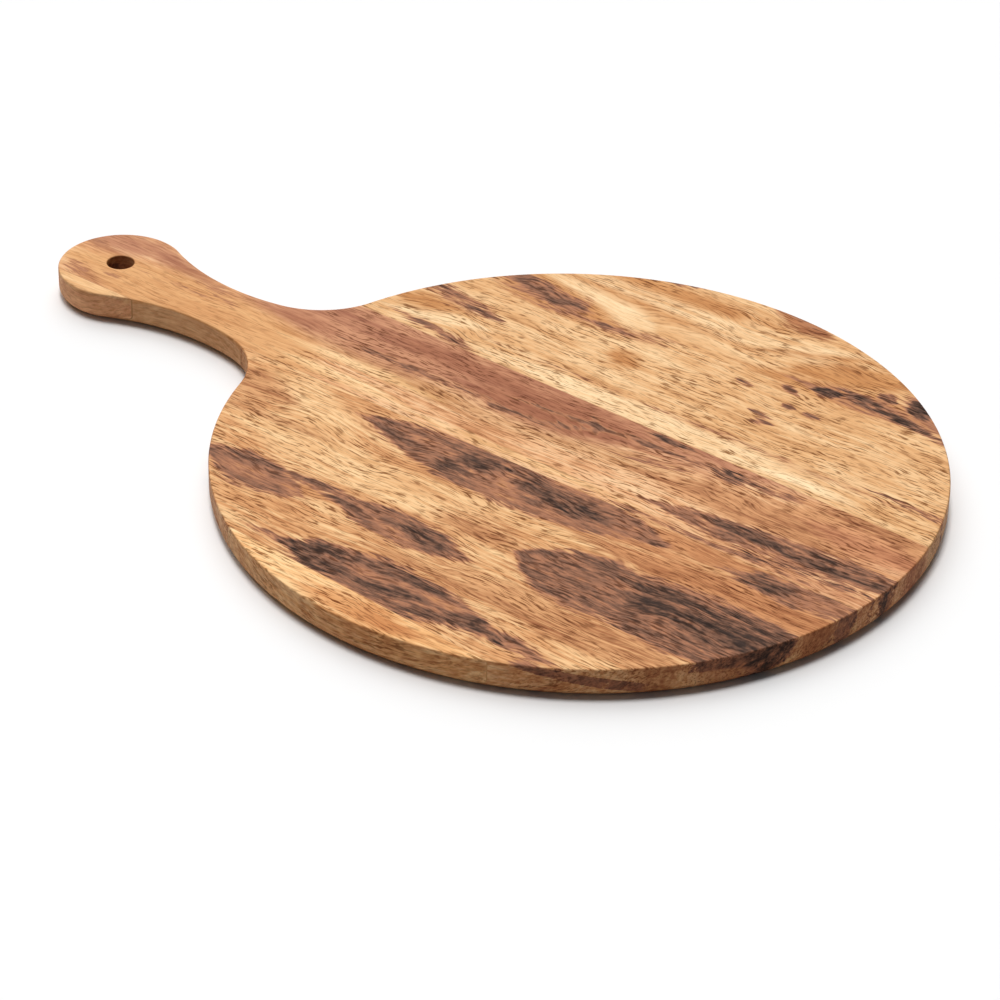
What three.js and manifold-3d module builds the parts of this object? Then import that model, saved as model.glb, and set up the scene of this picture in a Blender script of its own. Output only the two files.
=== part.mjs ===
// Round serving board with a paddle handle, edge-glued from boards of hardwood.
// Millimetres, +Z up. The origin is the centre of the disc on the underside; the handle runs
// along -X, with the grain. The panel is glued up first and then sawn to its outline, so every
// board carries its own stretch of the rim and the glue lines run out through the rounded edge.
import * as THREE from 'three';
import { mergeVertices } from 'three/addons/utils/BufferGeometryUtils.js';
import loadManifold from 'manifold-3d';

const wasm = await loadManifold();
wasm.setup();

// Panel
const DISC_RADIUS = 150;
const THICKNESS = 13;
const TOP_EASE = 0.8;
const BOTTOM_ROUND = 4.5;

// Handle
const HANDLE_LENGTH = 126.5;
const BULB_RADIUS = 27.5;
const NECK_HALF_WIDTH = 15;
const NECK_FROM_END = 83;
const SHOULDER_RADIUS = 38;

// Hanging hole, drilled a little to the far side of the handle's middle
const HOLE_RADIUS = 6;
const HOLE_FROM_END = 26;
const HOLE_ASIDE = 1.3;
const HOLE_EASE = 0.5;

// Boards, by the widths that the joints leave at the middle of the disc, or of the bulb for its cheek,
// and the joints' slants to the handle
const CHEEK_DEPTH = 7.7;
const HANDLE_BOARD_WIDTH = 56.5;
const EDGE_STRIP_WIDTH = 15.8;
const FRONT_JOINT_SLANT_DEG = -0.4;
const BACK_JOINT_SLANT_DEG = -1.4;
const EDGE_JOINT_SLANT_DEG = -3.9;
const GLUE_THICKNESS = 0.2;
const GLUE_CLEARANCE = 0.05;

// How closely facets follow a curve, and how far a cutting solid runs past the wood
const CHORD_SAG = 0.05;
const BOTTOM_STEPS = 4;
const TOP_STEPS = 2;
const HOLE_SIDES = 40;
const OVERRUN = 5;

// Outline: the disc, a shoulder, the neck and the bulb, each an arc tangent to the next.
// Arcs that turn left bound wood on their inside; those that turn right bound it on their outside.
const handleEnd = -(DISC_RADIUS + HANDLE_LENGTH);
const bulbX = handleEnd + BULB_RADIUS;
const neckX = handleEnd + NECK_FROM_END;

function outlineArcs() {
  const bulbToNeck = neckX - bulbX;
  const neckRadius = (bulbToNeck ** 2 + NECK_HALF_WIDTH ** 2 - BULB_RADIUS ** 2)
    / (2 * (BULB_RADIUS - NECK_HALF_WIDTH));
  const neck = new THREE.Vector2(neckX, NECK_HALF_WIDTH + neckRadius);
  const bulb = new THREE.Vector2(bulbX, 0);

  // The shoulder touches the disc from outside and the neck's arc from inside
  const toDisc = DISC_RADIUS + SHOULDER_RADIUS;
  const toNeck = neckRadius - SHOULDER_RADIUS;
  const cosine = (toDisc ** 2 + neck.lengthSq() - toNeck ** 2) / (2 * toDisc * neck.length());
  const shoulderAt = neck.angle() + Math.acos(cosine);
  const shoulder = new THREE.Vector2(Math.cos(shoulderAt), Math.sin(shoulderAt)).multiplyScalar(toDisc);

  const shoulderToNeck = shoulder.clone().sub(neck).angle() - 2 * Math.PI;
  const neckToBulb = bulb.clone().sub(neck).angle() - 2 * Math.PI;
  const bulbToNeckAt = neck.clone().sub(bulb).angle();
  const far = [
    { centre: shoulder, radius: SHOULDER_RADIUS, from: shoulderAt - Math.PI, to: shoulderToNeck },
    { centre: neck, radius: neckRadius, from: shoulderToNeck, to: neckToBulb },
  ];
  const near = far.map(({ centre, radius, from, to }) => (
    { centre: new THREE.Vector2(centre.x, -centre.y), radius, from: -to, to: -from }
  ));
  return [
    { centre: new THREE.Vector2(), radius: DISC_RADIUS, from: -shoulderAt, to: shoulderAt },
    ...far,
    { centre: bulb, radius: BULB_RADIUS, from: bulbToNeckAt, to: 2 * Math.PI - bulbToNeckAt },
    ...near.reverse(),
  ];
}

// The outline drawn in by an inset. Tangent arcs stay tangent when their radii change together,
// so every inset gives the same number of points, one above the other.
function outline(inset) {
  const points = [];
  for (const { centre, radius, from, to } of outlineArcs()) {
    const turn = Math.sign(to - from);
    const steps = Math.ceil(Math.abs(to - from) / (2 * Math.acos(1 - CHORD_SAG / radius)));
    for (let i = 0; i < steps; i += 1) {
      const angle = from + (to - from) * i / steps;
      const reach = radius - turn * inset;
      points.push(new THREE.Vector2(Math.cos(angle), Math.sin(angle)).multiplyScalar(reach).add(centre));
    }
  }
  return points;
}

// Edge profile, from the underside up: a round to lift the board by, a square wall, an eased arris
function edgeProfile() {
  const profile = [];
  for (let i = 0; i <= BOTTOM_STEPS; i += 1) {
    const turn = (Math.PI / 2) * i / BOTTOM_STEPS;
    profile.push({ inset: BOTTOM_ROUND * (1 - Math.sin(turn)), z: BOTTOM_ROUND * (1 - Math.cos(turn)) });
  }
  for (let i = 0; i <= TOP_STEPS; i += 1) {
    const turn = (Math.PI / 2) * i / TOP_STEPS;
    const z = THICKNESS - TOP_EASE * (1 - Math.sin(turn));
    profile.push({ inset: TOP_EASE * (1 - Math.cos(turn)), z });
  }
  return profile;
}

// The sawn and rounded panel as one closed skin: a ring of points at each level of the profile
function panelGeometry() {
  const profile = edgeProfile();
  const rings = profile.map(({ inset }) => outline(inset));
  const count = rings[0].length;
  const position = [];
  rings.forEach((ring, level) => {
    for (const point of ring) {
      position.push(point.x, point.y, profile[level].z);
    }
  });

  const index = [];
  for (let level = 0; level < rings.length - 1; level += 1) {
    for (let i = 0; i < count; i += 1) {
      const a = level * count + i;
      const b = level * count + (i + 1) % count;
      index.push(a, b, b + count, a, b + count, a + count);
    }
  }
  const top = (rings.length - 1) * count;
  for (const [a, b, c] of THREE.ShapeUtils.triangulateShape(rings[0], [])) {
    index.push(a, c, b);
  }
  for (const [a, b, c] of THREE.ShapeUtils.triangulateShape(rings.at(-1), [])) {
    index.push(top + a, top + b, top + c);
  }
  const geometry = new THREE.BufferGeometry();
  geometry.setAttribute('position', new THREE.Float32BufferAttribute(position, 3));
  geometry.setIndex(index);
  return geometry;
}

// Drill for the hanging hole, flared at both faces to ease the rim of the hole
function drillGeometry() {
  const flare = HOLE_RADIUS + 2 * HOLE_EASE;
  const profile = [
    new THREE.Vector2(0, -HOLE_EASE),
    new THREE.Vector2(flare, -HOLE_EASE),
    new THREE.Vector2(HOLE_RADIUS, HOLE_EASE),
    new THREE.Vector2(HOLE_RADIUS, THICKNESS - HOLE_EASE),
    new THREE.Vector2(flare, THICKNESS + HOLE_EASE),
    new THREE.Vector2(0, THICKNESS + HOLE_EASE),
  ];
  const drill = new THREE.LatheGeometry(profile, HOLE_SIDES);
  drill.rotateX(Math.PI / 2);
  drill.translate(handleEnd + HOLE_FROM_END, HOLE_ASIDE, 0);
  return drill;
}

// A straight line across the panel, through a point and at a slant to the handle. It gives the
// line's place across the panel at any station along it, and can be shifted to one side.
function lineThrough(x, y, slantDeg) {
  const slope = Math.tan(THREE.MathUtils.degToRad(slantDeg));
  return (along, shift = 0) => y + shift + slope * (along - x);
}

function beside(line, shift) {
  return (along) => line(along, shift);
}

// A straight-sided block of the panel's height between two lines and two stations along the grain
function blockGeometry(nearLine, farLine, west, east) {
  const shape = new THREE.Shape([
    new THREE.Vector2(west, nearLine(west)),
    new THREE.Vector2(east, nearLine(east)),
    new THREE.Vector2(east, farLine(east)),
    new THREE.Vector2(west, farLine(west)),
  ]);
  const block = new THREE.ExtrudeGeometry(shape, { depth: THICKNESS + 2 * OVERRUN, bevelEnabled: false });
  block.translate(0, 0, -OVERRUN);
  return block;
}

function toSolid(geometry) {
  const bare = geometry.clone();
  bare.deleteAttribute('normal');
  bare.deleteAttribute('uv');
  const merged = mergeVertices(bare);
  const corners = merged.index.array;
  const triangles = [];
  for (let i = 0; i < corners.length; i += 3) {
    const [a, b, c] = corners.slice(i, i + 3);
    if (a !== b && b !== c && c !== a) {
      triangles.push(a, b, c);
    }
  }
  return new wasm.Manifold(new wasm.Mesh({
    numProp: 3,
    vertProperties: new Float32Array(merged.attributes.position.array),
    triVerts: new Uint32Array(triangles),
  }));
}

function toMesh(name, solid, colour, roughness) {
  const { vertProperties, triVerts } = solid.getMesh();
  const geometry = new THREE.BufferGeometry();
  geometry.setAttribute('position', new THREE.BufferAttribute(vertProperties, 3));
  geometry.setIndex(new THREE.BufferAttribute(triVerts, 1));
  geometry.computeVertexNormals();
  const material = new THREE.MeshStandardMaterial({ color: colour, roughness, metalness: 0 });
  const mesh = new THREE.Mesh(geometry, material);
  mesh.name = name;
  return mesh;
}

const panel = toSolid(panelGeometry()).subtract(toSolid(drillGeometry()));
const westEnd = handleEnd - OVERRUN;
const eastEnd = DISC_RADIUS + OVERRUN;
const nearEnd = lineThrough(0, -2 * DISC_RADIUS, 0);
const farEnd = lineThrough(0, 2 * DISC_RADIUS, 0);

const frontJoint = lineThrough(bulbX, CHEEK_DEPTH - BULB_RADIUS, FRONT_JOINT_SLANT_DEG);
const backJoint = lineThrough(0, frontJoint(0) + HANDLE_BOARD_WIDTH, BACK_JOINT_SLANT_DEG);
const edgeJoint = lineThrough(0, EDGE_STRIP_WIDTH - DISC_RADIUS, EDGE_JOINT_SLANT_DEG);

function cut(nearLine, farLine, west, east) {
  return panel.intersect(toSolid(blockGeometry(nearLine, farLine, west, east)));
}

const board = new THREE.Group();
const WOOD_ROUGHNESS = 0.55;
const GLUE_ROUGHNESS = 0.4;

// Boards, from the far side to the near side. The front joint runs on through the handle's bulb,
// where the neck's narrow waist leaves a cheek of the front board standing on its own.
const woodGap = GLUE_THICKNESS / 2 + GLUE_CLEARANCE;
const boards = [
  ['back_board', beside(backJoint, woodGap), farEnd, westEnd, eastEnd, 0xd6a673],
  ['handle_board', beside(frontJoint, woodGap), beside(backJoint, -woodGap), westEnd, eastEnd, 0xb9805a],
  ['front_board', beside(edgeJoint, woodGap), beside(frontJoint, -woodGap), neckX, eastEnd, 0xb27f52],
  ['handle_cheek', beside(edgeJoint, woodGap), beside(frontJoint, -woodGap), westEnd, neckX, 0xdcae80],
  ['front_edge_strip', nearEnd, beside(edgeJoint, -woodGap), westEnd, eastEnd, 0xdfb27c],
];
for (const [name, nearLine, farLine, west, east, colour] of boards) {
  board.add(toMesh(name, cut(nearLine, farLine, west, east), colour, WOOD_ROUGHNESS));
}

// Glue lines: the cured film in each joint, flush with the wood all round
const film = GLUE_THICKNESS / 2;
const glueLines = [
  ['glue_line_back', backJoint, westEnd, eastEnd],
  ['glue_line_front', frontJoint, neckX, eastEnd],
  ['glue_line_cheek', frontJoint, westEnd, neckX],
  ['glue_line_edge', edgeJoint, westEnd, eastEnd],
];
for (const [name, joint, west, east] of glueLines) {
  const solid = cut(beside(joint, -film), beside(joint, film), west, east);
  board.add(toMesh(name, solid, 0x8a5a34, GLUE_ROUGHNESS));
}

export default board;
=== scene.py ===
import math
from collections import namedtuple

import bmesh
import bpy
from mathutils import Matrix, Vector


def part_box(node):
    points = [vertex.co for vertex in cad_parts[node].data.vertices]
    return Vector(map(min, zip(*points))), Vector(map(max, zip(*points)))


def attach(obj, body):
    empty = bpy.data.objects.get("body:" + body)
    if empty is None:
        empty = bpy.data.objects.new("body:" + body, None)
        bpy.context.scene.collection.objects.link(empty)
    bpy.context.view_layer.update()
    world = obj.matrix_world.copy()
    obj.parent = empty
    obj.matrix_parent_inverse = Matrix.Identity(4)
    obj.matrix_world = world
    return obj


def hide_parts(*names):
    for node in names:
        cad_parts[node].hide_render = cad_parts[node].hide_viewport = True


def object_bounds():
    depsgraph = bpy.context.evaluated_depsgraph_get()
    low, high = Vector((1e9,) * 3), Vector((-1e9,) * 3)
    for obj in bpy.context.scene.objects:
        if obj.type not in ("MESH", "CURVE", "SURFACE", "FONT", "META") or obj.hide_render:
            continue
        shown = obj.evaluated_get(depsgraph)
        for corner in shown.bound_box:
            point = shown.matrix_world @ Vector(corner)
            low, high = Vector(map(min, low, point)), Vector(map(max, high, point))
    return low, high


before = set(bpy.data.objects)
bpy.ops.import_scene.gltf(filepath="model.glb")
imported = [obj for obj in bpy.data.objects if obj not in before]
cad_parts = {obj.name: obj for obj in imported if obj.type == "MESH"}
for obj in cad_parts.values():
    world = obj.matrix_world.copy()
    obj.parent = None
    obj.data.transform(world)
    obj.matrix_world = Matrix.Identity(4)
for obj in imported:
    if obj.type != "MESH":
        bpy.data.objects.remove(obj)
cad_low, cad_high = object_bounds()

# The panel: boards of hardwood glued edge to edge, then sawn to a disc with a waisted handle.
# The lower edge is rounded over so that fingers can lift the board, the upper arris is only
# eased with a sanding block, and a hanging hole is drilled through the bulb of the handle.
MM = 0.001
thickness = cad_high.z
disc_radius = cad_high.y
bulb_radius = -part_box("handle_cheek")[0].y
bulb_x = cad_low.x + bulb_radius
neck_x = cad_low.x + 83 * MM
neck_half_width = 15 * MM
shoulder_radius = 38 * MM
bottom_round = 4.5 * MM
top_ease = 0.8 * MM
flat_margin = 0.4 * MM
hole_centre = Vector((cad_low.x + 26 * MM, 1.3 * MM))
hole_radius = 6 * MM
hole_ease = 0.6 * MM
chord_sag = 0.006 * MM
round_steps = 12
ease_steps = 6
bore_steps = 5
bore_sides = 96


def outline_arcs():
    """Centre, radius and the two end angles of each arc, every one tangent to the next."""
    run = neck_x - bulb_x
    neck_radius = (run**2 + neck_half_width**2 - bulb_radius**2) / (2 * (bulb_radius - neck_half_width))
    neck = Vector((neck_x, neck_half_width + neck_radius))
    bulb = Vector((bulb_x, 0))
    to_disc = disc_radius + shoulder_radius
    to_neck = neck_radius - shoulder_radius
    cosine = (to_disc**2 + neck.length_squared - to_neck**2) / (2 * to_disc * neck.length)
    shoulder_at = math.atan2(neck.y, neck.x) + math.acos(cosine)
    shoulder = Vector((math.cos(shoulder_at), math.sin(shoulder_at))) * to_disc
    shoulder_end = math.atan2(*(shoulder - neck).yx)
    neck_end = math.atan2(*(bulb - neck).yx)
    bulb_end = math.atan2(*(neck - bulb).yx)
    far_side = [
        (shoulder, shoulder_radius, shoulder_at - math.pi, shoulder_end),
        (neck, neck_radius, shoulder_end, neck_end),
    ]
    near_side = [
        (Vector((centre.x, -centre.y)), radius, -to, -start)
        for centre, radius, start, to in reversed(far_side)
    ]
    return [
        (Vector((0, 0)), disc_radius, -shoulder_at, shoulder_at),
        *far_side,
        (bulb, bulb_radius, bulb_end, 2 * math.pi - bulb_end),
        *near_side,
    ]


def outline(inset):
    """The sawn outline drawn in by an inset, always with the same number of points."""
    points = []
    for centre, radius, start, to in outline_arcs():
        turn = math.copysign(1, to - start)
        steps = math.ceil(abs(to - start) / (2 * math.acos(1 - chord_sag / radius)))
        for i in range(steps):
            angle = start + (to - start) * i / steps
            reach = radius - turn * inset
            points.append(centre + Vector((math.cos(angle), math.sin(angle))) * reach)
    return points


def quarter_round(radius, steps):
    """Pairs of (way in, way from the face) round a quarter turn, from the face to the wall."""
    turns = [math.pi / 2 * i / steps for i in range(steps + 1)]
    return [(radius * (1 - math.sin(turn)), radius * (1 - math.cos(turn))) for turn in turns]


def edge_profile(bottom, top, bottom_steps, top_steps):
    """Pairs of (inset, height) up an edge, with a narrow flat ring beside each rounding."""
    below = quarter_round(bottom, bottom_steps)
    above = [(inset, thickness - rise) for inset, rise in reversed(quarter_round(top, top_steps))]
    return [(bottom + flat_margin, 0), *below, *above, (top + flat_margin, thickness)]


def sawn_panel():
    """The whole panel as one closed skin, outer edge and hole."""
    skin = bmesh.new()
    rings = []
    for inset, height in edge_profile(bottom_round, top_ease, round_steps, ease_steps):
        rings.append([skin.verts.new((*point, height)) for point in outline(inset)])
    bore = []
    for inset, height in reversed(edge_profile(hole_ease, hole_ease, bore_steps, bore_steps)):
        circle = []
        for i in range(bore_sides):
            angle = 2 * math.pi * i / bore_sides
            reach = hole_radius + inset
            circle.append(hole_centre + Vector((math.cos(angle), math.sin(angle))) * reach)
        bore.append([skin.verts.new((*point, height)) for point in circle])
    for loops in (rings, bore):
        for lower, upper in zip(loops, loops[1:]):
            count = len(lower)
            for i in range(count):
                j = (i + 1) % count
                skin.faces.new((lower[i], lower[j], upper[j], upper[i]))
    for outer, inner in ((rings[0], bore[-1]), (rings[-1], bore[0])):
        loops = []
        for ring in (outer, inner):
            loops += [skin.edges.get((a, b)) for a, b in zip(ring, ring[1:] + ring[:1])]
        bmesh.ops.triangle_fill(skin, use_beauty=True, edges=loops)
    bmesh.ops.recalc_face_normals(skin, faces=skin.faces)
    return skin


film = 0.2 * MM


def joint(west_node, east_node):
    """A glue joint's two ends in plan, along the middle of its film."""
    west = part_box(west_node)
    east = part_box(east_node)
    return Vector((west[0].x, west[1].y - film / 2)), Vector((east[1].x, east[0].y + film / 2))


back_joint = joint("glue_line_back", "glue_line_back")
front_joint = joint("glue_line_cheek", "glue_line_front")
edge_joint = joint("glue_line_edge", "glue_line_edge")
neck_station = (Vector((neck_x, disc_radius)), Vector((neck_x, -disc_radius)))
panel = sawn_panel()
crease_angle = math.radians(40)


def cut_piece(name, *cuts):
    """A piece of the panel: each cut is a line in plan, how far to shift it and the side to keep."""
    part = panel.copy()
    for (start, end), shift, side in cuts:
        along = (end - start).normalized()
        across = Vector((-along.y, along.x, 0))
        place = Vector((*start, 0)) + across * shift
        geometry = [*part.verts, *part.edges, *part.faces]
        bmesh.ops.bisect_plane(
            part, geom=geometry, plane_co=place, plane_no=across,
            clear_inner=side > 0, clear_outer=side < 0,
        )
        rims = [edge for edge in part.edges if edge.is_boundary]
        bmesh.ops.holes_fill(part, edges=rims, sides=0)
    bmesh.ops.triangulate(part, faces=[face for face in part.faces if len(face.verts) > 4])
    bmesh.ops.recalc_face_normals(part, faces=part.faces)
    mesh = bpy.data.meshes.new(name)
    part.to_mesh(mesh)
    part.free()
    mesh.shade_smooth()
    mesh.set_sharp_from_angle(angle=crease_angle)
    piece = bpy.data.objects.new(name, mesh)
    bpy.context.scene.collection.objects.link(piece)
    return piece


# The back board: the wide pale one on the far side, tan sapwood with wavy open pores, a few
# knots at its right end and two brown flames at its left. Planed, glued along its near edge
# to the handle board, sanded and wiped with oil.
class Flow:
    """A value flowing through the nodes of a finish. Sums and products of flows add Math nodes."""

    def __init__(self, tree, socket=None):
        self.tree = tree
        self.socket = socket

    def node(self, kind, settings=(), sockets=(), out=0):
        made = self.tree.nodes.new(kind)
        for name, value in dict(settings).items():
            if name == "stops":
                set_stops(made.color_ramp, value)
            else:
                setattr(made, name, value)
        for key, value in dict(sockets).items():
            if isinstance(value, Flow):
                self.tree.links.new(value.socket, made.inputs[key])
            else:
                made.inputs[key].default_value = value
        return Flow(self.tree, made.outputs[out] if made.outputs else None)

    def math(self, operation, *values):
        return self.node("ShaderNodeMath", {"operation": operation}, enumerate(values))

    def __add__(self, other):
        return self.math("ADD", self, other)

    __radd__ = __add__

    def __sub__(self, other):
        return self.math("SUBTRACT", self, other)

    def __rsub__(self, other):
        return self.math("SUBTRACT", other, self)

    def __mul__(self, other):
        return self.math("MULTIPLY", self, other)

    __rmul__ = __mul__


def tone(code):
    """A colour's linear values from its six-figure code."""
    parts = [int(code[i:i + 2], 16) / 255 for i in (0, 2, 4)]
    linear = [part / 12.92 if part <= 0.04045 else ((part + 0.055) / 1.055) ** 2.4 for part in parts]
    return (*linear, 1)


def set_stops(ramp, stops):
    """A ramp's stops, as pairs of a place and a colour."""
    while len(ramp.elements) < len(stops):
        ramp.elements.new(1)
    for element, (place, colour) in zip(ramp.elements, stops):
        element.position = place
        element.color = colour


def step(value, start, end):
    """0 at start rising smoothly to 1 at end."""
    return value.node(
        "ShaderNodeMapRange", {"interpolation_type": "SMOOTHSTEP"},
        {"Value": value, "From Min": start, "From Max": end},
    )


def laid(under, over, share, how="MIX"):
    """One colour laid over another by a share."""
    return share.node(
        "ShaderNodeMix", {"data_type": "RGBA", "blend_type": how}, {0: share, 6: under, 7: over}, out=2,
    )


def shifted(place, sideways):
    """A place moved across the grain."""
    push = sideways.node("ShaderNodeCombineXYZ", {}, {1: sideways})
    return push.node("ShaderNodeVectorMath", {"operation": "ADD"}, {0: place, 1: push})


def fibres(place, seed, along, across, detail=2):
    """Noise drawn out along the grain, with marks of about the given sizes in millimetres."""
    drawn = place.node("ShaderNodeMapping", {}, {
        "Vector": place, "Location": (seed, -seed, seed), "Scale": (1 / along, 1 / across, 1 / across),
    })
    return drawn.node("ShaderNodeTexNoise", {}, {
        "Vector": drawn, "Scale": 1, "Detail": detail, "Roughness": 0.6,
    })


# How deep a spot reaches below the top face, and how far the figure leans across on its way down.
figure_depth = 17
figure_lean = 0.35


def sunk(spot, height, half_depth, dip=0):
    """A spot below the top face, with its height from that face, half its depth and its dip."""
    return (*spot, height, dip, half_depth)


def spot_frame(place, spot, spread=1):
    """The place as seen from a spot: 0 at its middle, 1 at its edge. A spot is its x and y on the
    top face, half its length, half its width and its turn, in millimetres and degrees."""
    x, y, half_length, half_width, turn, *below = spot
    height, dip, half_depth = below or (0, 0, figure_depth)
    return place.node("ShaderNodeMapping", {"vector_type": "TEXTURE"}, {
        "Vector": place, "Location": (x, y, height),
        "Rotation": (0, math.radians(dip), math.radians(turn)),
        "Scale": (half_length * spread, half_width * spread, half_depth),
    })


def away_from(local):
    """Round a spot with a pointed end at each side, as flames have: 1 all along its edge."""
    size = local.node("ShaderNodeVectorMath", {"operation": "ABSOLUTE"}, {0: local})
    bent = size.node("ShaderNodeVectorMath", {"operation": "POWER"}, {0: size, 1: (2, 1, 2)})
    return bent.node(
        "ShaderNodeVectorMath", {"operation": "DOT_PRODUCT"}, {0: bent, 1: (1, 1, 1)}, out=1,
    )


# Neighbouring spots run into each other over this many millimetres.
spot_blend = 1.5


def outside(place, spots):
    """How far outside the nearest spot's edge, in millimetres across the grain."""
    least = None
    for spot in spots:
        gap = away_from(spot_frame(place, spot)) * spot[3] - spot[3]
        least = gap.math("SMOOTH_MIN", least, gap, spot_blend) if least else gap
    return least


# A swell reaches this much wider than its spot, and parts the grain by this share of its width.
swell_spread = 1.8
swell_pull = 0.6


def swollen(place, spots):
    """The grain parted round each spot, as it grows round a flame or a knot."""
    for spot in spots:
        local = spot_frame(place, spot, swell_spread)
        lift = local.node("ShaderNodeSeparateXYZ", {}, {0: local}, out=1)
        place = shifted(place, lift * step(away_from(local), 1, 0) * (spot[3] * -swell_pull))
    return place


def tilted(place, spots):
    """The grain turned from its straight way within each spot, whose last value is the slope."""
    for x, y, half_length, half_width, slope in spots:
        local = spot_frame(place, (x, y, half_length, half_width, 0))
        run = local.node("ShaderNodeSeparateXYZ", {}, {0: local}, out=0)
        place = shifted(place, run * step(away_from(local), 1, 0) * (-slope * half_length))
    return place


Wash = namedtuple("Wash", "dark pale strength softness spots")
Stain = namedtuple("Stain", "strength softness edge spots")
figure_tones = [(0.0, "c98d5e"), (0.3, "aa7456"), (0.55, "815a46"), (0.8, "593f32"), (1.0, "3b2b24")]
pore_tone = (0.32, 0.22, 0.14, 1)
end_grain_tone = (0.82, 0.79, 0.76, 1)
# How far the grain wanders and ripples, and how ragged the figure's edges are, in millimetres.
wander_reach = 9
ripple_reach = 3.5
raggedness = 6


def wood(name, seed, grain, washes, stains, swells, tilts, calm, threading, rim):
    """Oiled wood. Grain is the plain wood's three colours from dark to pale, and threading is how
    strongly long threads show in it. A wash tints its spots. A stain darkens them, by its edge
    value more along their edges, or pales them if its strength is negative. The grain parts round
    the swells and turns aside in the tilts, pores are few in the calm spots, and rim tints the
    sawn edge."""
    material = bpy.data.materials.new(name)
    material.use_nodes = True
    tree = material.node_tree
    tree.nodes.clear()
    start = Flow(tree)
    where = start.node("ShaderNodeTexCoord", out=3)
    place = where.node("ShaderNodeMapping", {}, {
        "Vector": where, "Location": (0, 0, -thickness / MM), "Scale": (1 / MM, 1 / MM, 1 / MM),
    })
    depth = place.node("ShaderNodeSeparateXYZ", {}, {0: place}, out=2)
    place = shifted(place, depth * -figure_lean)

    # The grain wanders and ripples, and shows in layers from broad bands to fine hairs.
    parted = tilted(swollen(place, swells), tilts)
    waved = shifted(parted, fibres(parted, seed, along=70, across=26, detail=1) * wander_reach)
    rippled = shifted(waved, fibres(waved, seed + 5, along=17, across=9, detail=1) * ripple_reach)
    broad = fibres(waved, seed + 1, along=110, across=6)
    cloud = fibres(waved, seed + 2, along=26, across=12)
    threads = fibres(waved, seed + 7, along=48, across=1.5)
    streaks = fibres(waved, seed + 10, along=22, across=3)
    dashes = fibres(rippled, seed + 3, along=10, across=1.7)
    fine = fibres(rippled, seed + 4, along=7, across=0.85, detail=1)
    curl = fibres(rippled, seed + 8, along=4, across=1.2)

    # The plain wood between the figures.
    busy = step(outside(place, calm), -6, 6) if calm else 1
    mixed = broad * 0.35 + cloud * 0.25 + dashes * 0.15 + threads * threading
    middle = 0.375 + threading / 2
    plain = step((mixed - middle) * (0.75 + 0.25 * busy), -0.19, 0.17)
    dark, tan, pale = (tone(code) for code in grain)
    stops = [(0.0, dark), (0.4, tan), (1.0, pale)]
    colour = plain.node("ShaderNodeValToRGB", {"stops": stops}, {0: plain})

    # Tints, with ragged edges that follow the grain.
    ragged = (dashes + 0.6 * fine + 0.4 * cloud + 0.8 * streaks - 1.4) * raggedness
    for wash in washes:
        share = step(outside(place, wash.spots) + ragged, wash.softness, -wash.softness)
        tint = laid(tone(wash.dark), tone(wash.pale), plain)
        colour = laid(colour, tint, share * wash.strength)

    # Dark figure, broken up along the grain.
    shade = 0
    for stain in stains:
        gap = outside(place, stain.spots) + ragged
        inside = step(gap, stain.softness, -stain.softness)
        edge_band = step(gap, -5, -1) * inside
        shade = inside * stain.strength + edge_band * stain.edge + shade
    shade = shade * (3.1 - 0.3 * dashes - 0.7 * fine - 1.3 * curl - 2.3 * streaks + 0.4 * cloud)
    stops = [(stop, tone(code)) for stop, code in figure_tones]
    figure = shade.node("ShaderNodeValToRGB", {"stops": stops}, {0: shade})
    colour = laid(colour, figure, step(shade, 0.0, 0.3))

    # Open pores, as hairs and short marks that gather in patches and are fewer on the sawn edge.
    facing = start.node("ShaderNodeNewGeometry", out=1)
    facing_up = facing.node("ShaderNodeSeparateXYZ", {}, {0: facing}, out=2)
    facing_along = facing.node("ShaderNodeSeparateXYZ", {}, {0: facing}, out=0)
    wall = step(facing_up.math("ABSOLUTE", facing_up), 0.97, 0.6)
    gathered = step(fibres(waved, seed + 6, along=22, across=14, detail=1), 0.38, 0.62)
    hairs = step(fine - 0.06 * shade, 0.5, 0.35) * (0.45 + 0.55 * gathered)
    marks = step(dashes - 0.04 * shade, 0.42, 0.28) * (0.3 + 0.7 * gathered)
    shown = (0.4 + 0.6 * busy) * (1 - 0.2 * step(shade, 0.1, 0.5)) * (1 - 0.25 * wall)
    pores = hairs.math("MAXIMUM", hairs, marks) * shown
    colour = laid(colour, pore_tone, pores, "MULTIPLY")

    # The sawn edge is mottled and darker than the face. The darkening is partly its own duller oiled
    # tone and partly painted shade, and it is darkest across the end grain.
    mottle = step(fibres(place, seed + 9, along=4.5, across=2), 0.2, 0.8)
    colour = laid(colour, tone(rim), wall * (0.3 + 0.7 * mottle), "MULTIPLY")
    end_grain = facing_along.math("ABSOLUTE", facing_along) * wall
    colour = laid(colour, end_grain_tone, end_grain, "MULTIPLY")

    # Sanded smooth, so with little relief, and satin with oil.
    relief = fibres(place, seed, along=9, across=0.8, detail=1)
    bump = relief.node("ShaderNodeBump", {}, {"Strength": 0.3, "Distance": 0.3 * MM, "Height": relief})
    finish = start.node("ShaderNodeBsdfPrincipled", {}, {
        "Base Color": colour,
        "Roughness": 0.46 + 0.16 * dashes + 0.1 * pores,
        "Normal": bump,
        "Specular IOR Level": 0.06,
    })
    finish.node("ShaderNodeOutputMaterial", {}, {0: finish})
    return material


def fit(piece, node, material):
    """A finished piece takes the place of its solid in the board."""
    piece.data.materials.append(material)
    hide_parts(node)
    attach(piece, "root")


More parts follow.
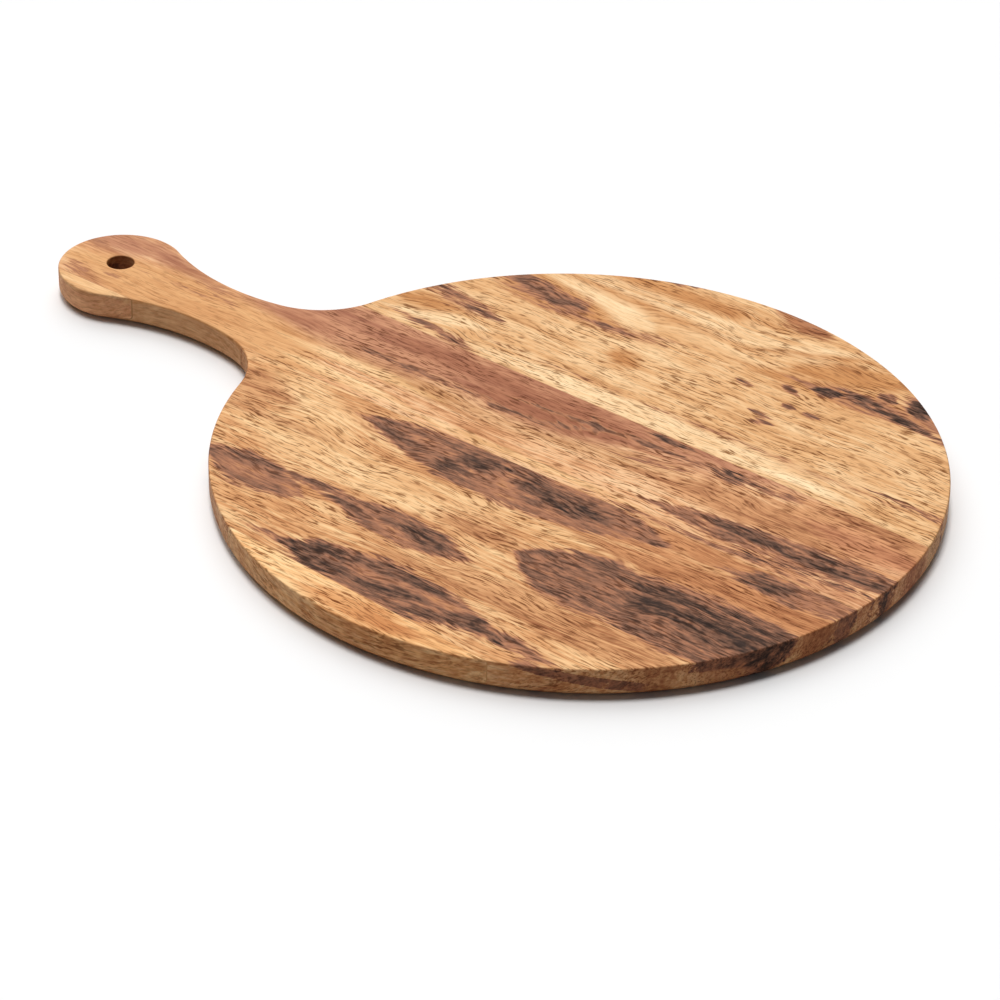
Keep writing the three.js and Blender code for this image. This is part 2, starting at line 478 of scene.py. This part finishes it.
back_wood = wood(
    "back_wood", 3.0, ("b98353", "dda974", "f1cb9b"),
    washes=[
        # Cream sapwood in bands by the glue joint and the far rim.
        Wash("e6b57f", "ffe3b7", strength=0.9, softness=2.5, spots=[
            (-70, 109, 34, 5, -9), (-52, 105, 20, 6.5, -14), (-12, 41, 80, 6, -1.4),
            (42, 40, 66, 6, -1.4), (-22, 121, 80, 1.6, 1), (-18, 126, 74, 1.6, 1),
            (24, 128, 36, 2.8, 23), (14, 121, 34, 1.5, 12), (-112, 52, 26, 4.5, 12),
        ]),
        # Orange-brown wood round the flames and the knots and at the far rim.
        Wash("ac6c3a", "d29459", strength=0.88, softness=5, spots=[
            (-45, 134, 56, 7, 3), (-50, 116, 50, 2.6, -3), (54, 122, 32, 10, 24), (62, 106, 50, 9, 4),
            (-30, 73, 9, 6, -20), (40, 131, 30, 1.8, 26), (-124, 60, 18, 7, 10), (-85, 97, 42, 11, -8),
        ]),
        # A dark red tongue at the far rim.
        Wash("7e4026", "b0693c", strength=0.9, softness=2.5, spots=[
            (13, 146.5, 17, 5, -9), (18, 141, 11, 1.8, 0),
        ]),
    ],
    stains=[
        # Brown shade round the flames and the knots.
        Stain(strength=0.26, softness=4, edge=0, spots=[
            (-92, 98, 34, 7.5, -8), (-62, 91, 40, 3.6, 3), (-117, 70, 28, 5.5, -10),
            (76, 107, 46, 7, 2), (90, 117, 14, 8, -35), (12, 148, 16, 3, -8), (-98, 40.5, 14, 3, -14),
            (-113, 43.6, 18, 2, -6), (-80, 90.5, 32, 2.2, -6), (-38, 93.5, 20, 1.8, 16),
            (45, 49, 80, 0.8, -0.5),
        ]),
        # The hearts of the flames on the left.
        Stain(strength=0.24, softness=2.5, edge=0, spots=[
            (-96, 100, 20, 5, -8), (-84, 98, 9, 6, -10), (-72, 101, 6, 4.5, -30),
            (-124, 72.5, 9, 2.6, -10), (-97, 40, 15, 2.2, -12), (-114, 43.4, 16, 1.8, -6),
            (-52, 90.5, 10, 1.8, 3), (-100, 67, 12, 3.6, -8),
        ]),
        # The knots and their tails.
        Stain(strength=0.5, softness=1.6, edge=0, spots=[
            (-45, 142.5, 7, 1.6, 18), (74, 116.5, 5.5, 3.4, -20), (90, 117, 9, 5.4, -35),
            (38, 97.5, 6, 2, -20), (51, 104.5, 7, 4, 15), (67, 109, 13, 3, -8),
            (86, 105.5, 16, 2.6, -4), (104, 102, 14, 1.6, -6), (20, 90, 5, 1.3, -10),
            (45, 85, 3, 1.2, 0), (56, 85.5, 4, 1.2, -10), (40, 72.5, 6, 1.4, -10), (43, 68, 5, 1.5, 0),
            (127, 51.5, 18, 1, -3),
        ]),
    ],
    swells=[(-82, 97, 30, 9, -8), (72, 108, 34, 7, 0), (-40, 112, 40, 7, -4)],
    tilts=[(22, 128, 44, 34, 0.2), (-75, 108, 50, 18, -0.14), (-120, 52, 36, 24, 0.25)],
    calm=[(-45, 108, 60, 10, -4)], threading=0.25, rim="d8c4b2",
)
back_board = cut_piece("back_board_wood", (back_joint, film / 2, 1))
fit(back_board, "back_board", back_wood)


# The handle board: the middle one, red-brown heartwood that pales to tan on its near side. It
# runs out into the neck and the bulb and carries the drilled hole, with both its long edges
# glued.
handle_wood = wood(
    "handle_wood", 21.0, ("b87b50", "dda373", "f3cb9e"),
    washes=[
        # Brown-tan between the red heartwood and the pale near side.
        Wash("b07848", "e6b585", strength=0.8, softness=5, spots=[
            (-70, 4, 90, 9, 0), (0, 8, 50, 8, 6),
        ]),
        # Red-brown heartwood along the far side and out into the handle.
        Wash("9e644c", "cb906c", strength=0.95, softness=6.5, spots=[
            (-115, 23, 80, 18, 0), (-40, 24, 70, 18, 0), (22, 29, 70, 11, 4), (-150, 20, 40, 14, 0),
            (-264, 15, 24, 9, 0), (-236, 17, 34, 6, -14), (-165, 12, 34, 6, 4),
        ]),
        # Deeper red within it.
        Wash("864c34", "a8694b", strength=0.7, softness=6, spots=[
            (-25, 20, 44, 13, 6), (-75, 27, 50, 7, 0), (-160, 13, 24, 4, 3), (-220, 14.5, 18, 3, -8),
        ]),
        # Orange-tan wood in the neck and the bulb.
        Wash("bf8350", "e2ab72", strength=0.85, softness=5, spots=[
            (-205, -6, 80, 18, 0), (-150, -16, 30, 12, 0),
        ]),
        # Pale bands on the near side.
        Wash("dda970", "fcd6a1", strength=0.75, softness=2.5, spots=[
            (-112, -14, 36, 4, -1), (-20, -17, 60, 2.4, 0), (-110, -2, 40, 3, 0),
        ]),
        # Orange-brown wood at the right end and on the bulb.
        Wash("8f5534", "db9e6c", strength=0.9, softness=5, spots=[
            (128, 20, 50, 14, 0), (92, 10, 70, 12, 4), (100, -18, 52, 4, 2), (-256, -16, 14, 5, -20),
        ]),
        # Redder streaks at the right end.
        Wash("95533a", "cf8c66", strength=0.55, softness=5, spots=[
            (132, 15, 34, 9, -4), (126, -19, 40, 3, 0),
        ]),
        # Paler wood at half depth, which shows on the side of the neck.
        Wash("cf9a6c", "f0c79c", strength=0.6, softness=2, spots=[
            sunk((-205, -16, 70, 14, 0), height=-7.5, half_depth=6.8),
        ]),
    ],
    stains=[
        # Fine dark streaks through the heartwood.
        Stain(strength=0.44, softness=1.5, edge=0, spots=[
            (-95, 11, 40, 2.2, 0), (-48, 8, 10, 1.8, 0), (-8, 22, 8, 2.4, -50),
            (-20, 13.5, 16, 1.8, 22), (-38, 9.5, 14, 1.5, 5), (75, -20, 44, 1.2, 0),
            (122, -15.5, 36, 1.2, 5), (20, 24, 60, 2, 4),
        ]),
        # Weak marks on the bulb and the neck.
        Stain(strength=0.22, softness=2, edge=0, spots=[
            (-247, -9, 7, 2, -10), (-193, 5, 8, 1.6, -6), (-222, 1.5, 24, 0.9, 0), (-270, 8, 9, 3, 0),
            (-262, -14, 10, 4, -25), (-205, 11, 16, 3, -8),
        ]),
        # The long flame at the right end, and flecks in the heartwood.
        Stain(strength=0.37, softness=2.5, edge=0.06, spots=[
            (105, -6.5, 66, 8.5, 3), (130, -4, 40, 7.5, 3), (25, 32, 12, 2.8, -3),
            (30, 14.5, 18, 2, 12), (57, 24.5, 9, 3, -5), (75, 26, 15, 2.8, 3),
        ]),
        # The hole's wall, darkened as painted shade inside the bore.
        Stain(strength=0.35, softness=1.5, edge=0, spots=[
            sunk((*hole_centre / MM, 12, 11, 0), height=-8, half_depth=6.5),
        ]),
        # The hearts of that flame and of two flecks.
        Stain(strength=0.29, softness=3, edge=0, spots=[
            (86, -6, 18, 4.5, 4), (128, -4, 34, 4.5, 3), (25, 32.5, 10, 2, 0), (57, 24.5, 6, 2, 0),
        ]),
    ],
    swells=[(98, -6, 56, 8, 3), (10, 24, 60, 9, 6)],
    tilts=[(30, 14, 60, 18, 0.14)],
    calm=[(-215, 0, 80, 60, 0)], threading=0.45, rim="e2cfc0",
)
handle_board = cut_piece("handle_board_wood", (front_joint, film / 2, 1), (back_joint, -film / 2, -1))
fit(handle_board, "handle_board", handle_wood)


# The front board: the wide one on the near side, tan wood with four long dark flames and a small
# one where the saw ran through streaked heartwood. Glued to the handle board and the edge strip.
flames = [
    (-10, -32, 78, 17.5, 0), (130, -29, 40, 7.5, 4),
    (105, -71, 70, 21, 0), (58, -72.5, 36, 18.5, 0), (125, -70.5, 60, 20.5, 0),
    (-95, -92, 30, 10.5, -6), (-22, -88, 36, 9.5, -2), (-62, -85, 28, 3.2, 0),
    (0, -122, 52, 13, 0), (-30, -122, 22, 10, 0), (56, -123, 22, 3.4, -4), (-55, -123, 12, 1.6, 0),
]
front_wood = wood(
    "front_wood", 47.0, ("b37648", "d79d69", "f1c894"),
    washes=[
        # Pale tan between the flames and on the cheek.
        Wash("dda96e", "fbd5a3", strength=0.6, softness=5, spots=[
            (-85, -62, 50, 10, 0), (-40, -68, 36, 8, 0), (-108, -38, 34, 10, -20),
            (-20, -54, 46, 4, 6), (40, -50, 36, 3, 10), (-250, -23, 24, 5, 0),
        ]),
        # Orange-brown wood at the right end.
        Wash("8a4d2c", "cf8d5c", strength=0.9, softness=4, spots=[
            (122, -43, 54, 11, 0), (84, -45, 52, 8, 3), (78, -28, 54, 7, 0), (56, -38, 34, 5, 4),
        ]),
        # Orange-tan wood between the flames, on the near side and at the left end.
        Wash("8f5230", "dda26e", strength=0.85, softness=5, spots=[
            (62, -101, 60, 10, -3), (2, -69, 22, 7, 0), (20, -104, 44, 4, 0), (-133, -53.7, 12, 2, 0),
            (90, -99, 60, 9, -2), (-134, -40, 22, 9, -8), (-122, -57, 26, 2, 3),
        ]),
        # A brown ground under the flames.
        Wash("a86b45", "c98e62", strength=0.75, softness=6, spots=flames),
        # Paler wood at half depth, which shows on the side of the cheek.
        Wash("dc9a6c", "fcc090", strength=0.65, softness=2, spots=[
            sunk((-250, -24, 90, 14, 0), height=-7.5, half_depth=6.8),
        ]),
    ],
    stains=[
        # The flames.
        Stain(strength=0.42, softness=2.5, edge=0.06, spots=flames),
        # Their dark hearts.
        Stain(strength=0.25, softness=4, edge=0, spots=[
            (-30, -34, 16, 7, 48), (11, -33, 24, 7, -4), (-4, -28, 30, 3, 0), (112, -30, 12, 5, 8),
            (110, -64, 44, 10, -2), (92, -67, 22, 7, 6), (134, -61, 22, 8, 0), (-11, -87, 14, 5, -8),
            (-36, -124, 20, 10, 0), (-3, -113, 28, 3, -2), (6, -127, 24, 5, -6),
            (41, -123.5, 16, 5, -4),
        ]),
        # Weaker shade within them.
        Stain(strength=0.1, softness=5, edge=0, spots=[
            (95, -74, 66, 16, 0), (-74, -31, 18, 5, -20), (33, -34, 18, 5, 0), (27, -73, 9, 7.5, 0),
            (54, -58, 24, 4, 8), (44, -85, 20, 5, -14), (-108, -86, 20, 4, 10), (-42, -89, 20, 6, 0),
            (-66, -84, 16, 2, 0), (-80, -99, 12, 3, -12),
        ]),
        # A dark streak below the face, which shows only on the near rim.
        Stain(strength=0.36, softness=3, edge=0, spots=[
            sunk((97, -112, 44, 16, 40), height=-6.5, half_depth=2.2, dip=10),
        ]),
        # Paler wood where the second flame thins out on the rim.
        Stain(strength=-0.44, softness=3, edge=0, spots=[
            sunk((123, -86, 26, 13, 55), height=-9.5, half_depth=5),
        ]),
        # Paler gaps within the flames.
        Stain(strength=-0.16, softness=3, edge=0, spots=[
            (-10, -33, 6, 7, 0), (-8, -43, 14, 3.5, 0), (18, -43, 14, 2.4, 0), (47, -36, 12, 5, 0),
            (91, -64.5, 9, 0.9, 0), (66, -69, 16, 4, 6), (-98, -94, 16, 4.5, -5), (-66, -93, 14, 5, 0),
            (-24, -92, 18, 3, -4), (7, -131, 14, 2.2, 30), (-12, -118.5, 12, 2.2, 10),
            (24, -118, 12, 2.6, -8), (133, -30.5, 15, 3, 0),
        ]),
    ],
    swells=[(-12, -33, 76, 14, 0), (88, -71, 72, 19, 0), (-60, -88, 66, 8, 0), (5, -121, 60, 11, 0)],
    tilts=[(-80, -47, 44, 30, -0.25), (25, -53, 50, 16, 0.2), (50, -98, 50, 14, -0.12)],
    calm=[(-250, -25, 40, 20, 0)], threading=0.45, rim="dccbc8",
)
front_board = cut_piece(
    "front_board_wood", (edge_joint, film / 2, 1), (front_joint, -film / 2, -1), (neck_station, 0, 1),
)
fit(front_board, "front_board", front_wood)


# The handle cheek: the sliver of the front board that the waisted neck leaves on the near side
# of the bulb, held to the handle board by the same straight joint.
handle_cheek = cut_piece("handle_cheek_wood", (front_joint, -film / 2, -1), (neck_station, 0, -1))
fit(handle_cheek, "handle_cheek", front_wood)


# The front edge strip: a narrow offcut of pale sapwood that fills the panel out to its near
# rim, glued at a slight slant.
edge_wood = wood(
    "edge_wood", 71.0, ("cc8e58", "eab176", "fad49e"),
    # Orange-tan wood at its right end.
    washes=[Wash("b8713f", "dc9a60", strength=0.85, softness=4, spots=[(-2, -142, 30, 7, 0)])],
    stains=[], swells=[], tilts=[], calm=[], threading=0.4, rim="cab6b0",
)
edge_strip = cut_piece("front_edge_strip_wood", (edge_joint, -film / 2, -1))
fit(edge_strip, "front_edge_strip", edge_wood)


# The glue lines: a film of cured wood glue in each joint, planed and sanded flush with the
# boards so that only a thin brown line shows on the faces and round the edge.
def cured_glue():
    """Amber-brown glue, a little uneven where it was squeezed out and scraped off."""
    material = bpy.data.materials.new("cured_glue")
    material.use_nodes = True
    tree = material.node_tree
    tree.nodes.clear()
    start = Flow(tree)
    where = start.node("ShaderNodeTexCoord", out=3)
    squeeze = where.node("ShaderNodeTexNoise", {}, {"Vector": where, "Scale": 90, "Detail": 3})
    colour = squeeze.node("ShaderNodeValToRGB", {"stops": [
        (0.3, tone("a06c3c")), (0.7, tone("c08a54")),
    ]}, {0: squeeze})
    finish = start.node("ShaderNodeBsdfPrincipled", {}, {
        "Base Color": colour, "Roughness": 0.4 + 0.2 * squeeze, "Specular IOR Level": 0.3,
    })
    finish.node("ShaderNodeOutputMaterial", {}, {0: finish})
    return material


glue = cured_glue()
glue_lines = [
    ("glue_line_back", back_joint, ()),
    ("glue_line_front", front_joint, ((neck_station, 0, 1),)),
    ("glue_line_cheek", front_joint, ((neck_station, 0, -1),)),
    ("glue_line_edge", edge_joint, ()),
]
for node, line, ends in glue_lines:
    glue_film = cut_piece(node + "_film", (line, -film / 2, 1), (line, film / 2, -1), *ends)
    fit(glue_film, node, glue)
panel.free()


# The floor and the light: a plain white sweep under a small overhead softbox, which leaves the
# thin dark shadow at the near rim. A wide softbox behind and to the left leaves the soft one.
floor_mesh = bpy.data.meshes.new("floor")
floor_reach = 4
corners = [
    (-floor_reach, -floor_reach, 0), (floor_reach, -floor_reach, 0),
    (floor_reach, floor_reach, 0), (-floor_reach, floor_reach, 0),
]
floor_mesh.from_pydata(corners, [], [(0, 1, 2, 3)])
floor = bpy.data.objects.new("floor", floor_mesh)
bpy.context.scene.collection.objects.link(floor)
white = bpy.data.materials.new("white_sweep")
white.use_nodes = True
sweep = white.node_tree.nodes["Principled BSDF"].inputs
sweep["Base Color"].default_value = (0.86, 0.86, 0.86, 1)
sweep["Roughness"].default_value = 0.9
sweep["Specular IOR Level"].default_value = 0
floor_mesh.materials.append(white)

world = bpy.data.worlds.new("studio")
world.use_nodes = True
sky = world.node_tree.nodes["Background"].inputs
sky["Color"].default_value = (1, 1, 1, 1)
sky["Strength"].default_value = 0.07
bpy.context.scene.world = world
bpy.context.scene.view_settings.view_transform = "Standard"


def softbox(name, toward, spread, power):
    """A far softbox: the way to it from the board, how wide it looks in degrees and its power."""
    light = bpy.data.lights.new(name, "SUN")
    light.angle = math.radians(spread)
    light.energy = power
    lamp = bpy.data.objects.new(name, light)
    lamp.rotation_euler = Vector(toward).to_track_quat("Z", "Y").to_euler()
    bpy.context.scene.collection.objects.link(lamp)


softbox("overhead", toward=(-0.14, 0.11, 1), spread=14, power=1.7)
softbox("behind", toward=(-0.6, 0.5, 1), spread=70, power=2.28)


# The camera: a long lens from the front right, looking down on the board's top face with a
# slight roll, as the photograph was taken.
camera_data = bpy.data.cameras.new("camera")
camera_data.sensor_width = 36
camera_data.lens = 134.8
azimuth = math.radians(36.47)
elevation = math.radians(32.86)
roll = math.radians(1.37)
aim = Vector((-4.68 * MM, -47.03 * MM, thickness))
distance = 1488 * MM
back = Vector((
    math.sin(azimuth) * math.cos(elevation),
    -math.cos(azimuth) * math.cos(elevation),
    math.sin(elevation),
))
level = Vector((math.cos(azimuth), math.sin(azimuth), 0))
rise = back.cross(level)
right = math.cos(roll) * level + math.sin(roll) * rise
up = math.cos(roll) * rise - math.sin(roll) * level
camera = bpy.data.objects.new("camera", camera_data)
camera_turn = Matrix((right, up, back)).transposed().to_4x4()
camera.matrix_world = Matrix.Translation(aim + back * distance) @ camera_turn
bpy.context.scene.collection.objects.link(camera)
bpy.context.scene.camera = camera
